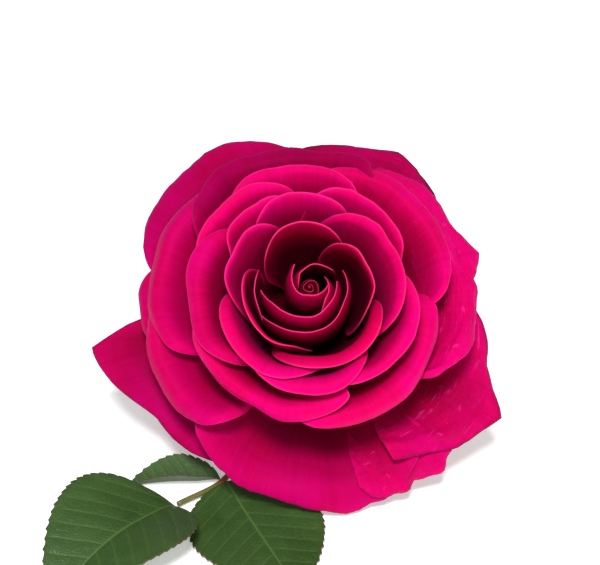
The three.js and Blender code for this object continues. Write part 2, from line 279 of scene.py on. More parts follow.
def petal_material(name, stops, rim=0.3, streak=0.07, sheen=0.12):
    material, tree, output = new_material(name)
    uv = node(tree, "ShaderNodeUVMap", uv_map="growth").outputs["UV"]
    place = node(tree, "ShaderNodeTexCoord").outputs["Object"]
    fan = node(tree, "ShaderNodeMapping", {"Vector": uv, "Scale": (46.0, 2.2, 1.0)}).outputs["Vector"]
    veins = noise_node(tree, fan, 1.0, detail=4.0, roughness=0.62, distortion=0.25)
    patches = noise_node(tree, place, 46.0, detail=3.0, roughness=0.5)
    grain = noise_node(tree, place, 2600.0, detail=2.0, roughness=0.6)
    cross = node(tree, "ShaderNodeMapping", {"Vector": uv, "Scale": (9.0, 62.0, 1.0)}).outputs["Vector"]
    wrinkles = noise_node(tree, cross, 1.0, detail=3.0, roughness=0.55, distortion=0.9)
    crinkle = attribute(tree, "crinkle")

    # Painted shade: the colour darkens with the distance down from the rim, standing in for the shade deep in the cup.
    shade_depth = attribute(tree, "shade_depth")
    wander = math_node(tree, "MULTIPLY", math_node(tree, "SUBTRACT", patches, 0.5), 0.22)
    moved = math_node(tree, "ADD", shade_depth, wander)
    colour = ramp(tree, moved, stops)
    tint = mixed(tree, span(tree, patches, 0.40, 0.66), (0.93, 1.0, 0.84), (1.07, 1.0, 1.36))
    colour = mixed(tree, 1.0, colour, tint, "MULTIPLY")
    between_veins = (1.0 - streak, 1.0, 1.0 - 1.3 * streak)
    light = mixed(tree, span(tree, veins, 0.36, 0.66), between_veins, (1.04, 1.0, 1.08))
    colour = mixed(tree, 1.0, colour, light, "MULTIPLY")
    # Painted highlight: paler pink on the crests of the crinkles, where they would catch the light; the crinkles are
    # also bumped.
    ridge = math_node(tree, "MULTIPLY", span(tree, wrinkles, 0.58, 0.74), crinkle)
    colour = mixed(tree, math_node(tree, "MULTIPLY", ridge, 0.42), colour, (0.86, 0.03, 0.34))
    # Painted highlight: a pale pink line along each petal's rim, where the edge's thickness would catch the light.
    edge = attribute(tree, "edge")
    colour = mixed(tree, math_node(tree, "MULTIPLY", edge, rim), colour, (0.90, 0.06, 0.26))
    # Painted light and shade: each petal's colour is scaled by how lit it should stand.
    light_and_shade = attribute(tree, "light_and_shade")
    grey = node(tree, "ShaderNodeCombineColor", {"Red": light_and_shade, "Green": light_and_shade, "Blue": light_and_shade}).outputs[0]
    colour = mixed(tree, 1.0, colour, grey, "MULTIPLY")
    worn = attribute(tree, "worn")
    blot = math_node(tree, "MULTIPLY", worn, span(tree, patches, 0.25, 0.55, 0.6, 1.0), clamp=True)
    colour = mixed(tree, blot, colour, WORN_COLOUR)

    height = math_node(
        tree,
        "ADD",
        math_node(tree, "ADD", math_node(tree, "MULTIPLY", veins, 0.55), math_node(tree, "MULTIPLY", grain, 0.10)),
        math_node(tree, "MULTIPLY", math_node(tree, "MULTIPLY", wrinkles, crinkle), 3.0),
    )
    bump = node(tree, "ShaderNodeBump", {"Height": height, "Strength": 0.35, "Distance": 0.0006}).outputs["Normal"]
    rough = span(tree, veins, 0.3, 0.7, 0.46, 0.60)
    surface = node(
        tree,
        "ShaderNodeBsdfPrincipled",
        {
            "Base Color": colour,
            "Roughness": rough,
            "Specular IOR Level": 0.07,
            "Specular Tint": (1.0, 0.12, 0.45, 1.0),
            "Sheen Weight": sheen,
            "Sheen Roughness": 0.45,
            "Sheen Tint": (1.0, 0.02, 0.32, 1.0),
            "Normal": bump,
        },
    ).outputs[0]
    through = mixed(tree, 1.0, colour, (1.0, 0.3, 0.55), "MULTIPLY")
    glow = node(tree, "ShaderNodeBsdfTranslucent", {"Color": through}).outputs[0]
    both = node(tree, "ShaderNodeMixShader", {"Fac": 0.22, 1: surface, 2: glow}).outputs[0]
    tree.links.new(both, output.inputs["Surface"])
    return material


def leaf_material(name, under=False):
    material, tree, output = new_material(name)
    place = node(tree, "ShaderNodeTexCoord").outputs["Object"]
    vein = attribute(tree, "vein")
    edge = attribute(tree, "edge")
    patches = noise_node(tree, place, 60.0, detail=4.0, roughness=0.55)
    voronoi = node(tree, "ShaderNodeTexVoronoi", {"Vector": place, "Scale": 900.0}, feature="DISTANCE_TO_EDGE")
    cells = voronoi.outputs["Distance"]
    grain = noise_node(tree, place, 1800.0, detail=2.0)
    greens = [(0.25, (0.019, 0.052, 0.008)), (0.5, (0.028, 0.068, 0.011)), (0.75, (0.040, 0.088, 0.018))]
    colour = ramp(tree, patches, greens)
    colour = mixed(tree, span(tree, cells, 0.0, 0.12, 0.22, 0.0), colour, (0.075, 0.150, 0.040))
    colour = mixed(tree, math_node(tree, "MULTIPLY", vein, 0.45), colour, (0.12, 0.21, 0.055))
    colour = mixed(tree, math_node(tree, "MULTIPLY", edge, 0.5), colour, (0.13, 0.055, 0.020))
    if under:
        colour = mixed(tree, 0.45, colour, (0.16, 0.23, 0.12))
    height = math_node(
        tree,
        "ADD",
        math_node(tree, "MULTIPLY", span(tree, cells, 0.0, 0.14), 0.5),
        math_node(tree, "ADD", math_node(tree, "MULTIPLY", grain, 0.15), math_node(tree, "MULTIPLY", vein, -1.2)),
    )
    bump = node(tree, "ShaderNodeBump", {"Height": height, "Strength": 0.5, "Distance": 0.0003}).outputs["Normal"]
    rough = span(tree, patches, 0.3, 0.7, 0.42, 0.58)
    surface = node(
        tree,
        "ShaderNodeBsdfPrincipled",
        {"Base Color": colour, "Roughness": rough, "Specular IOR Level": 0.25, "Normal": bump},
    ).outputs[0]
    glow = node(tree, "ShaderNodeBsdfTranslucent", {"Color": (0.06, 0.16, 0.012, 1.0)}).outputs[0]
    both = node(tree, "ShaderNodeMixShader", {"Fac": 0.12, 1: surface, 2: glow}).outputs[0]
    tree.links.new(both, output.inputs["Surface"])
    return material


def stalk_material(name, low, high, blush):
    """Green skin with fine grain, pale dots and a red blush where the attribute says."""
    material, tree, output = new_material(name)
    place = node(tree, "ShaderNodeTexCoord").outputs["Object"]
    patches = noise_node(tree, place, 90.0, detail=4.0)
    grain = noise_node(tree, place, 900.0, detail=3.0)
    dots = node(tree, "ShaderNodeTexVoronoi", {"Vector": place, "Scale": 520.0}).outputs["Distance"]
    colour = ramp(tree, patches, [(0.3, low), (0.7, high)])
    colour = mixed(tree, span(tree, dots, 0.10, 0.22, 0.35, 0.0), colour, (0.28, 0.34, 0.14))
    red = math_node(tree, "MULTIPLY", attribute(tree, "blush"), span(tree, patches, 0.3, 0.6, 0.55, 1.0), clamp=True)
    colour = mixed(tree, red, colour, blush)
    colour = mixed(tree, attribute(tree, "cut"), colour, (0.55, 0.58, 0.34))
    bump = node(tree, "ShaderNodeBump", {"Height": grain, "Strength": 0.3, "Distance": 0.0003}).outputs["Normal"]
    surface = node(
        tree,
        "ShaderNodeBsdfPrincipled",
        {"Base Color": colour, "Roughness": 0.45, "Specular IOR Level": 0.4, "Normal": bump},
    ).outputs[0]
    tree.links.new(surface, output.inputs["Surface"])
    return material


# Colour from the rim down, darkening into painted shade deep in the cup: share of the way to the darkest, then linear
# red, green and blue.
HOT = [
    (0.0, (0.66, 0.0007, 0.125)),
    (0.11, (0.56, 0.0005, 0.092)),
    (0.24, (0.40, 0.0004, 0.050)),
    (0.42, (0.22, 0.0003, 0.018)),
    (0.8, (0.08, 0.0002, 0.004)),
]
# The same painted shade for the heart, going nearly black in its hollows.
DEEP = [
    (0.0, (0.62, 0.0005, 0.085)),
    (0.10, (0.46, 0.0004, 0.046)),
    (0.24, (0.20, 0.0003, 0.012)),
    (0.45, (0.06, 0.0002, 0.003)),
    (1.0, (0.02, 0.0002, 0.001)),
]
PINK = petal_material("petal_pink", HOT)
HEART = petal_material("petal_heart", DEEP, rim=0.5, streak=0.06, sheen=0.03)
LEAF = leaf_material("leaf_green")
SEPAL = leaf_material("sepal_green", under=True)
STEM = stalk_material("stem_green", (0.050, 0.115, 0.022), (0.095, 0.170, 0.038), (0.20, 0.035, 0.020))

# ---- The bloom ----
LAYERS = np.array(
    [
        [[0.12, 0.06], [0.05, 0.32], [0.12, 0.7], [0.015, 0.96]],
        [[0.27, 0.056], [0.13, 0.24], [0.24, 0.7], [0.125, 0.965]],
        [[0.42, 0.048], [0.2, 0.16], [0.34, 0.76], [0.285, 0.99]],
        [[0.55, 0.038], [0.25, 0.1], [0.4, 0.9], [0.43, 1.02]],
        [[0.67, 0.026], [0.3, 0.04], [0.52, 0.98], [0.6, 0.93]],
        [[0.79, 0.014], [0.35, -0.02], [0.64, 0.88], [0.76, 0.74]],
        [[0.9, 0.002], [0.4, -0.08], [0.76, 0.64], [0.91, 0.43]],
        [[1.0, -0.01], [0.45, -0.12], [0.88, 0.36], [1.03, 0.13]],
        [[1.08, -0.02], [0.5, -0.14], [0.97, 0.1], [1.13, -0.12]],
    ]
)
LAYER_STEP = 2.0
LAYER_SCALE = np.array([[RECEPTACLE_RADIUS, BLOOM_DEPTH]] + [[BLOOM_RADIUS, BLOOM_DEPTH]] * 3)
CLAW_SHARE = 0.4
SEAT_STEP = 0.9
STRAIGHT_FROM = 0.92  # share of the way up from which a layer runs on straight


def profile(layer, b):
    """Radius and height at share b of the way up a layer."""
    last = len(LAYERS) - 1
    x = np.clip(np.asarray(layer) / LAYER_STEP, 0, last)
    k = np.minimum(last - 1, np.floor(x)).astype(int)
    rows = np.concatenate([[2 * LAYERS[0] - LAYERS[1]], LAYERS, [2 * LAYERS[-1] - LAYERS[-2]]]) * LAYER_SCALE
    t = (x - k)[..., None, None]
    p, q, r, s = (rows[k + i] for i in range(4))
    row = q + 0.5 * t * (r - p + t * (2 * p - 5 * q + 4 * r - s + t * (3 * (q - r) + s - p)))
    beyond = np.maximum(0.0, b - STRAIGHT_FROM)
    b = b - beyond
    c = 1 - b
    weights = np.stack([c**3, 3 * c * c * b, 3 * c * b * b, b**3], -1)[..., None]
    slopes = np.stack([c * c, 2 * c * b, b * b], -1)[..., None]
    point = (row * weights).sum(-2) + 3 * (np.diff(row, axis=-2) * slopes).sum(-2) * beyond[..., None]
    return point[..., 0], point[..., 1]


# Each petal's place in the bloom, then how its margin is finished:
# name, at (degrees round the axis), half its width in degrees, layer at its middle, lean and bow (layers
# gained across it), reach up the cup, how far the rim falls at each side, (a tip's height, its place and its
# width before and after it), flare, roll in mm and degrees, ruffle in mm, crinkle, worn
PLAIN = (0, 0, 0.3, 0.3)
PETALS = [
    ("core_petal_1", 250, 130, 0.25, -0.45, 1.4, 0.97, (0.04, 0.04), PLAIN, 0, 1.2, 8, 0.2, 0, 0),
    ("core_petal_2", 104, 62, 1.5, -0.85, -0.3, 1.0, (0.1, 0.1), PLAIN, 0, 1.2, 10, 0.5, 0, 0),
    ("core_petal_3", -14, 62, 1.35, -0.3, 0.1, 0.98, (0.12, 0.12), PLAIN, 0, 1.2, 10, 0.7, 0, 0),
    ("core_petal_4", 280, 100, 2.15, -0.8, 0.45, 0.98, (0.08, 0.08), (0.025, -0.75, 0.3, 0.3), 0, 1.4, 12, 0.8, 0, 0),
    ("core_petal_5", 184, 28, 3.8, 0, 0, 0.96, (0.12, 0.12), PLAIN, 0, 1.5, 10, 0.3, 0, 0),
    ("core_petal_6", 300, 94, 2.9, -0.6, 0.35, 0.97, (0.14, 0.12), (0.02, 0.3, 0.3, 0.3), 0, 1.8, 14, 0.9, 0, 0),
    ("core_petal_7", 18, 62, 4.3, -0.3, 0, 1.0, (0.42, 0.42), (0.03, 0.1, 0.6, 0.6), 0, 3, 30, 1.3, 0, 0),
    ("core_petal_8", 100, 54, 4.45, 0, 0, 0.98, (0.42, 0.42), PLAIN, 0, 2, 20, 1.1, 0, 0),
    ("core_petal_9", 212, 66, 4.6, 0.1, 0, 0.99, (0.4, 0.5), PLAIN, 0, 3, 45, 1.1, 0, 0),
    ("core_petal_10", -66, 60, 5.15, 0, 0, 0.99, (0.4, 0.25), (0.06, 0.6, 0.6, 0.4), 0, 7, 88, 0.9, 0, 0),
    ("inner_petal_1", -47, 26, 5.8, 0, 0, 0.92, (0.4, 0.4), PLAIN, 0, 3, 40, 1.92, 0.6, 0),
    ("inner_petal_2", 155, 50, 5.9, 0, 0, 0.97, (0.42, 0.42), PLAIN, 0, 3, 30, 1.44, 0, 0),
    ("inner_petal_3", 230, 56, 6.35, 0.1, 0, 0.97, (0.38, 0.38), PLAIN, 0, 6, 80, 1.44, 0, 0),
    ("inner_petal_4", 25, 64, 6.2, -0.2, 0, 0.97, (0.38, 0.38), PLAIN, 0, 5, 50, 2.08, 0, 0),
    ("inner_petal_5", 98, 42, 6.6, 0, 0, 0.97, (0.35, 0.35), (0.05, 0.1, 0.5, 0.5), 0, 3, 25, 1.12, 0, 0),
    ("inner_petal_6", 130, 36, 7.05, 0, 0, 0.97, (0.35, 0.35), PLAIN, 0, 3, 25, 1.28, 0, 0),
    ("inner_petal_7", -90, 46, 6.9, 0, 0, 0.95, (0.3, 0.3), PLAIN, 0, 7, 90, 1.44, 0, 0),
    ("inner_petal_8", -30, 50, 7.35, 0, 0, 0.95, (0.3, 0.3), PLAIN, 0, 6, 80, 1.6, 0, 0),
    ("inner_petal_9", 55, 42, 7.4, 0, 0, 0.98, (0.35, 0.35), PLAIN, 0, 3, 25, 1.44, 0, 0),
    ("middle_petal_1", 185, 50, 7.9, 0, 0, 0.98, (0.35, 0.62), (0.04, -0.2, 0.5, 0.5), 0, 9, 80, 1.44, 0, 0),
    ("middle_petal_2", 135, 44, 8.4, 0, 0, 0.98, (0.35, 0.35), (0.03, 0, 0.5, 0.5), 0, 4, 35, 1.44, 0, 0),
    ("middle_petal_3", 238, 52, 8.6, 0, 0, 0.98, (0.4, 0.2), PLAIN, 0, 12, 95, 1.76, 0, 0),
    ("middle_petal_4", 100, 44, 9.0, 0, 0, 1.0, (0.42, 0.42), (0.07, 0, 0.6, 0.6), 0, 4, 30, 1.6, 0, 0),
    ("middle_petal_5", -48, 56, 9.2, 0, 0, 0.98, (0.62, 0.5), PLAIN, 0, 13, 95, 1.92, 0, 0),
    ("middle_petal_6", 42, 52, 9.9, 0, 0, 1.0, (0.5, 0.4), (0.04, 0.3, 0.6, 0.6), 0.02, 7, 50, 2.08, 0.2, 0),
    ("middle_petal_7", 104, 50, 10.5, 0, 0, 1.0, (0.35, 0.35), (0.03, -0.1, 0.5, 0.5), 0.05, 5, 30, 3.04, 0, 0),
    ("outer_petal_1", 163, 46, 11.2, 0, 0, 1.0, (0.3, 0.6), (0.05, -0.2, 0.5, 0.5), 0.03, 11, 60, 1.3, 0, 0),
    ("outer_petal_2", 206, 36, 11.8, 0, 0, 1.0, (0.25, 0.55), PLAIN, 0, 10, 55, 1.4, 0, 0),
    ("outer_petal_3", 3, 44, 11.3, 0, 0, 1.02, (0.5, 0.25), (0.08, 0.1, 0.5, 0.3), 0.02, 7, 40, 2.4, 1.0, 0.25),
    ("outer_petal_4", 36, 34, 11.9, 0, 0, 0.99, (0.2, 0.2), (0.12, -0.5, 0.3, 0.4), 0.02, 6, 60, 1.8, 0.5, 0.35),
    ("outer_petal_5", 68, 32, 12.4, 0, 0, 1.0, (0.2, 0.3), (0.06, -0.2, 0.3, 0.4), 0.035, 4, 35, 1.8, 0.6, 0.8),
    ("outer_petal_6", 178, 20, 12.3, 0, 0, 0.97, (0.2, 0.2), PLAIN, 0, 5, 60, 1.2, 0, 0.3),
    ("outer_petal_7", -92, 47, 13.9, 0.6, 0, 0.95, (0.14, 0.26), (0.11, 0.08, 0.4, 0.35), 0, 4, 14, 3.4, 0.12, 0.15),
    ("outer_petal_8", 128, 40, 13.0, 0, 0, 1.02, (0.28, 0.28), (0.05, -0.15, 0.6, 0.4), 0.06, 5, 35, 2.2, 0, 0.3),
    ("outer_petal_9", 209, 36, 14.8, 0, 0, 0.84, (0.25, 0.1), (0.44, -0.64, 0.2, 0.75), 0.0, 1.5, 15, 0.5, 0, 0.4),
    ("outer_petal_10", -28, 33, 13.9, 0, 0, 0.95, (0.1, 0.2), (0.27, 0.04, 0.7, 0.42), 0.0, 2, 15, 1.8, 1.0, 0.6),
    ("outer_petal_11", -56, 18, 14.0, 0, 0, 1.02, (0.2, 0.2), (0.08, 0.3, 0.5, 0.5), 0, 3, 45, 1.8, 0.8, 0.4),
]


# Painted light and shade: how much lighter or darker each petal's colour is made beside the rest, for how the light
# falls on it, where it isn't 1.
PAINTED_LIGHT_AND_SHADE = {
    "middle_petal_1": 0.86,
    "outer_petal_10": 0.86,
    "middle_petal_3": 1.08,
    "middle_petal_5": 1.08,
    "middle_petal_7": 0.5,
    "outer_petal_1": 0.88,
    "outer_petal_2": 0.88,
    "outer_petal_5": 0.62,
    "outer_petal_6": 0.75,
    "outer_petal_7": 0.78,
    "outer_petal_8": 0.68,
    "outer_petal_9": 0.66,
    "outer_petal_11": 0.9,
}


def seats():
    """The layer each petal's claw starts from: one step outside every earlier claw that it would meet."""
    found = []
    for row in PETALS:
        seat = 0.0
        for k, other in enumerate(PETALS[: len(found)]):
            apart = abs((row[1] - other[1] + 540) % 360 - 180)
            if apart < CLAW_SHARE * (row[2] + other[2]) + 24:
                seat = max(seat, found[k] + SEAT_STEP)
        found.append(seat)
    return found


BUD_PETALS = 6  # the first petals, whose sides overlap freely round the bud
DEEPEST_TUCK = 0.8
TUCK = 0.2  # layers by which a petal's sides stay outside the petals they close on


def tucks():
    """How many layers each petal's two sides draw in, to close on the petals inside them."""
    found = []
    for k, (_, at, half, layer, *_) in enumerate(PETALS):
        free = k < BUD_PETALS
        sides = []
        for side in (-1, 1):
            place = at + side * half
            inner = [o[3] for o in PETALS[:k] if abs((place - o[1] + 540) % 360 - 180) < 0.9 * o[2] and o[3] < layer]
            sides.append(0.0 if free or not inner else max(-DEEPEST_TUCK, min(0.0, max(inner) + TUCK - layer)))
        found.append(sides)
    return found


# The hip's outline, which also says where the bloom stands in the frame.
DOME = [(base[0] * RECEPTACLE_RADIUS, base[1] * BLOOM_DEPTH - 0.6) for base in LAYERS[:, 0]]
HIP = [
    (STEM_RADIUS * 1.15, -HIP_LENGTH),
    (STEM_RADIUS * 1.5, -HIP_LENGTH * 0.9),
    (RECEPTACLE_RADIUS * 0.78, -HIP_LENGTH * 0.62),
    (RECEPTACLE_RADIUS * 0.95, -HIP_LENGTH * 0.36),
    (RECEPTACLE_RADIUS, -HIP_LENGTH * 0.16),
    *DOME[::-1],
]
TURN = math.radians(90 - BLOOM_TILT)
low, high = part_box("hip")
ORIGIN = np.array(
    [
        (low.x + high.x) / 2 / MM,
        low.y / MM - min(-h * math.sin(TURN) - r * math.cos(TURN) for r, h in HIP),
        low.z / MM - min(h * math.cos(TURN) - r * math.sin(TURN) for r, h in HIP),
    ]
)


def in_frame(points):
    """From the bloom's own axes, with +Z along its axis, to the frame."""
    x, y, z = np.moveaxis(np.asarray(points, float), -1, 0)
    return ORIGIN + np.stack([x, y * math.cos(TURN) - z * math.sin(TURN), y * math.sin(TURN) + z * math.cos(TURN)], -1)


def rolled_heart():
    """The innermost petal's own middle, rolled tight: a wall that winds in to the tip, with a gap beside it."""
    sides, over, rings = 96, 46, 66
    top, widest, turns = 0.98 * BLOOM_DEPTH, 2.9, 2.1
    a = np.linspace(0, 2 * np.pi, sides, endpoint=False)[None, :]
    side_rows = np.linspace(1, 0, rings - over, endpoint=False)[:, None]
    radius = np.concatenate([widest - 0.9 * side_rows, np.linspace(widest, 0.04, over)[:, None]]) + 0 * a
    fall = np.concatenate([20 * side_rows, np.zeros((over, 1))])
    wound = (turns * (radius / widest) ** 0.7 * (1 + 0.06 * np.cos(3 * a)) + a / (2 * np.pi)) % 1.0
    gap = np.sin(np.pi * wound) ** 0.7 * smooth(radius / 0.6) * (fall == 0)
    h = top - 0.6 * radius - 2.2 * gap - fall
    ring = np.stack([radius * np.cos(a), radius * np.sin(a), h + 0 * a], -1).reshape(-1, 3)
    verts = np.concatenate([ring, [[0, 0, h[0, 0]], [0, 0, top + 0.1]]])
    # Painted shade in the gaps of the spiral and down its fallen sides.
    shade_depth = np.concatenate([np.clip(0.04 + 0.5 * gap + fall / 20, 0, 1).ravel(), [1, 0]])
    # Painted highlight along the wound rims, and a strong one on the tip's top point.
    edge = np.concatenate([(smooth(1 - 2.2 * gap) * (fall == 0)).ravel(), [0, 1.9]])
    uv = np.concatenate([np.stack([(a / 6.3 + 0 * h).ravel(), h.ravel() / 100], -1), [[0, 0], [0, 0]]])
    zeros = np.zeros(len(verts))
    values = {"shade_depth": shade_depth, "edge": edge, "worn": zeros, "crinkle": zeros, "light_and_shade": zeros + 1}
    return in_frame(verts), ring_faces(rings, sides), uv, values


def petal(row, seat, tuck, seed):
    name, at, half, layer, lean, bow, reach, fall, point, flare, roll, roll_angle, ruffle, crinkle, worn = row
    tip, tip_at, before, after = point
    across = int(np.clip(half * 1.5, 44, 110))  # columns of the grid, more for a wider petal
    along = 60
    t = np.linspace(-1, 1, across + 1)[None, :]
    q = np.linspace(0, 1, along + 1)[:, None] ** 0.8
    u = np.sin(t * np.pi / 2)
    length = BLOOM_DEPTH * 1.15
    scallop = 2.2 * kinked(u, 7, seed) + 0.8 * kinked(u, 15, seed + 3) + 0.15 * noise(u * 20, 0, seed)
    scallop = scallop * ruffle / length
    spread_tip = np.where(u < tip_at, before, after)
    bmax = reach * (1 - np.where(t < 0, fall[0], fall[1]) * np.abs(u) ** 4)
    bmax = bmax + tip * np.maximum(0, 1 - np.abs(u - tip_at) / spread_tip) ** 1.25
    bmax = bmax + 0.35 * roll / length * math.sin(math.radians(min(roll_angle, 90))) + scallop
    b = q * bmax
    spread = CLAW_SHARE + (1 - CLAW_SHARE) * smooth((b - 0.08) / 0.6)
    azimuth = np.radians(at + half * spread * u)
    sides = np.where(u < 0, tuck[0], tuck[1]) * smooth((np.abs(u) - 0.25) / 0.75)
    rim_layer = layer + lean * u + bow * u * u + sides
    radius, height = profile(seat + (rim_layer - seat) * smooth(b / 0.4), b)
    radius = radius * (1 + flare * smooth(b / 0.9))
    # Roll the margin outwards: turn each stretch of the column, then lay the stretches end to end again.
    dr, dz = np.diff(radius, axis=0), np.diff(height, axis=0)
    ds = np.hypot(dr, dz)
    angle = np.arctan2(dz, dr)
    s = np.concatenate([np.zeros((1, across + 1)), np.cumsum(ds, axis=0)])
    total = s[-1:]
    middle = 0.5 * (s[1:] + s[:-1])
    wide = roll * (1 + 0.3 * kinked(u, 6, seed + 5)) * (0.5 + 0.5 * np.cos(t * np.pi / 2))
    bend = np.radians(roll_angle) * (1 + 0.3 * kinked(u, 7, seed + 9)) * (0.35 + 0.65 * np.cos(t * np.pi / 2))
    angle = angle - bend * smooth((middle - (total - wide)) / wide)
    radius = np.concatenate([radius[:1], radius[:1] + np.cumsum(ds * np.cos(angle), axis=0)])
    height = np.concatenate([height[:1], height[:1] + np.cumsum(ds * np.sin(angle), axis=0)])
    # Ruffles and soft folds, square to the profile.
    out_r, out_z = np.gradient(height, axis=0), -np.gradient(radius, axis=0)
    size = np.hypot(out_r, out_z) + 1e-9
    near_rim = smooth((q - 0.35) / 0.65)
    folds = 0.6 * noise(u * 2.6 + 3, q * 1.4, seed + 2)
    folds = folds + 0.9 * kinked(u, 9, seed + 3) * smooth((q - 0.7) / 0.3)
    creases = 0.8 * noise(u * 4, q * 13, seed + 4) + 0.3 * noise(u * 11, q * 28, seed + 6)
    wave = ruffle * near_rim * folds
    wave = wave + crinkle * near_rim * creases
    radius = radius + wave * out_r / size
    height = height + wave * out_z / size
    points = in_frame(np.stack([radius * np.cos(azimuth), radius * np.sin(azimuth), height], -1))
    verts, faces = shell(points, PETAL_SHEET)
    uv = np.stack([0.5 + u * 0.5 + 0 * q, s / 100.0], -1)
    from_rim = total - s
    side = (1 - np.abs(t)) * np.radians(half) * np.maximum(radius, 4.0) * 1.2
    nearest = np.minimum(from_rim, side)
    ragged = 1.5 + 2.6 * np.maximum(0, noise(u * 4.3, 2.2, seed + 11)) + 1.2 * noise(u * 15, 0.4, seed + 12)
    tatter = np.clip(worn * smooth(1 - from_rim / np.maximum(ragged * (0.4 + worn), 0.3)), 0, 1)
    values = {
        # painted shade: how far down from the rim, over the length it darkens across
        "shade_depth": np.clip(from_rim / (OUTER_SHADE if name.startswith("outer") else INNER_SHADE), 0, 1),
        # painted highlight along the rim, gone where the margin is worn
        "edge": smooth(1 - nearest / RIM_HIGHLIGHT_WIDTH) * (1 - np.clip(tatter * 2, 0, 1)),
        "worn": tatter,
        "crinkle": np.full(from_rim.shape, crinkle),
        # painted light and shade for this petal
        "light_and_shade": np.full(from_rim.shape, PAINTED_LIGHT_AND_SHADE.get(name, 1.0)),
    }
    values = {key: np.tile(value.ravel(), 2) for key, value in values.items()}
    uv = np.tile(uv.reshape(-1, 2), (2, 1))
    if name == "core_petal_1":
        more, more_faces, more_uv, more_values = rolled_heart()
        faces = faces + [face + len(verts) for face in more_faces]
        verts = np.concatenate([verts, more])
        uv = np.concatenate([uv, more_uv])
        values = {key: np.concatenate([value, more_values[key]]) for key, value in values.items()}
    heart = name.startswith("core")
    return mesh_object(
        "rose_" + name,
        verts,
        faces,
        uv,
        values,
        HEART if heart else PINK,
        [name],
    )


for k, (row, seat, tuck) in enumerate(zip(PETALS, seats(), tucks())):
    petal(row, seat, tuck, 17 + 13 * k)

# ---- Hip and sepals ----
def catmull(points, count):
    points = np.asarray(points, float)
    pad = np.concatenate([[2 * points[0] - points[1]], points, [2 * points[-1] - points[-2]]])
    x = np.linspace(0, len(points) - 1 - 1e-9, count)
    k = np.floor(x).astype(int)
    t = (x - k)[:, None]
    p, q, r, s = (pad[k + i] for i in range(4))
    return q + 0.5 * t * (r - p + t * (2 * p - 5 * q + 4 * r - s + t * (3 * (q - r) + s - p)))


def hip():
    outline = np.array([(0.0, -HIP_LENGTH), *HIP, (0.0, DOME[0][1])])
    smooth_part = catmull(outline[1:-1], 60)
    outline = np.concatenate([outline[:1], smooth_part, outline[-1:]])
    sides = 40
    a = np.linspace(0, 2 * np.pi, sides, endpoint=False)
    rings = [np.stack([r * np.cos(a), r * np.sin(a), np.full(sides, h)], -1) for r, h in outline[1:-1]]
    verts = np.concatenate(rings + [[[0, 0, outline[0, 1]]], [[0, 0, outline[-1, 1]]]])
    zeros = np.zeros(len(verts))
    values = {"blush": zeros + 0.15, "cut": zeros}
    mesh_object("rose_hip", in_frame(verts), ring_faces(len(rings), sides), None, values, STEM, ["hip"])


hip()


def sepal(index):
    azimuth = math.radians(18 + 72 * index)
    q = np.linspace(0, 1, 61)[:, None]
    t = np.linspace(-1, 1, 15)[None, :]
    start = np.array([RECEPTACLE_RADIUS + 0.8, -HIP_LENGTH * 0.18])
    corners = [(0.0, 0.0), (0.28, -0.06), (0.52, -0.3), (0.5, -0.78)]  # of the spine, in sepal lengths
    legs = [start + [SEPAL_LENGTH * out, SEPAL_LENGTH * up] for out, up in corners]
    c = 1 - q
    spine = sum(w * leg for w, leg in zip((c**3, 3 * c * c * q, 3 * c * q * q, q**3), legs))
    radius, height = spine[:, :1], spine[:, 1:]
    half = (SEPAL_WIDTH / 2) * (0.35 + 0.65 * np.sin(np.pi * (0.25 + 0.6 * q))) * (1 - q**3) + 0.25
    lobes = 1 + 0.22 * np.maximum(0, noise(q * 9, index * 3.3, 41)) * smooth(q / 0.3)
    x = half * lobes * t
    lift = 0.8 * t * t + 0.35 * noise(q * 5, t * 1.5 + index, 43)
    points = np.stack(
        [
            radius * math.cos(azimuth) - x * math.sin(azimuth),
            radius * math.sin(azimuth) + x * math.cos(azimuth),
            height + lift,
        ],
        -1,
    )
    verts, faces = shell(in_frame(points), SEPAL_SHEET)
    vein = np.tile((smooth(1 - np.abs(x) / 0.4) * np.ones_like(q)).ravel(), 2)
    edge = np.tile((smooth((np.abs(t) - 0.8) / 0.2) * 0.4 * np.ones_like(q)).ravel(), 2)
    node_name = f"sepal_{index + 1}"
    mesh_object("rose_" + node_name, verts, faces, None, {"vein": vein, "edge": edge}, SEPAL, [node_name])


for i in range(5):
    sepal(i)

# ---- Stem ----
FLOOR_ORIGIN = np.array([ORIGIN[0], ORIGIN[1], 0.0])
AXIS = np.array([0.0, -math.sin(TURN), math.cos(TURN)])
neck = in_frame([0, 0, -HIP_LENGTH - GAP])
cut_end = np.array([ORIGIN[0] + STEM_SWING, neck[1] + STEM_REACH, STEM_RADIUS])
legs = [
    neck,
    neck - AXIS * 0.17 * STEM_REACH,
    cut_end + [-0.3 * STEM_SWING, -0.5 * STEM_REACH, 0.03 * STEM_REACH],
    cut_end,
]


def stem_points(count):
    """Points evenly spaced along the stem's centre line."""
    x = np.linspace(0, 1, 2001)[:, None]
    c = 1 - x
    fine = c**3 * legs[0] + 3 * c * c * x * legs[1] + 3 * c * x * x * legs[2] + x**3 * legs[3]
    s = np.concatenate([[0], np.cumsum(np.linalg.norm(np.diff(fine, axis=0), axis=1))])
    want = np.linspace(0, s[-1], count)
    return np.stack([np.interp(want, s, fine[:, i]) for i in range(3)], -1)


LEAF_JOIN = 0.13  # share of the way down the stem
PRICKLES = [(0.36, -70), (0.55, 60), (0.72, -20)]  # share of the way down the stem, turn in degrees


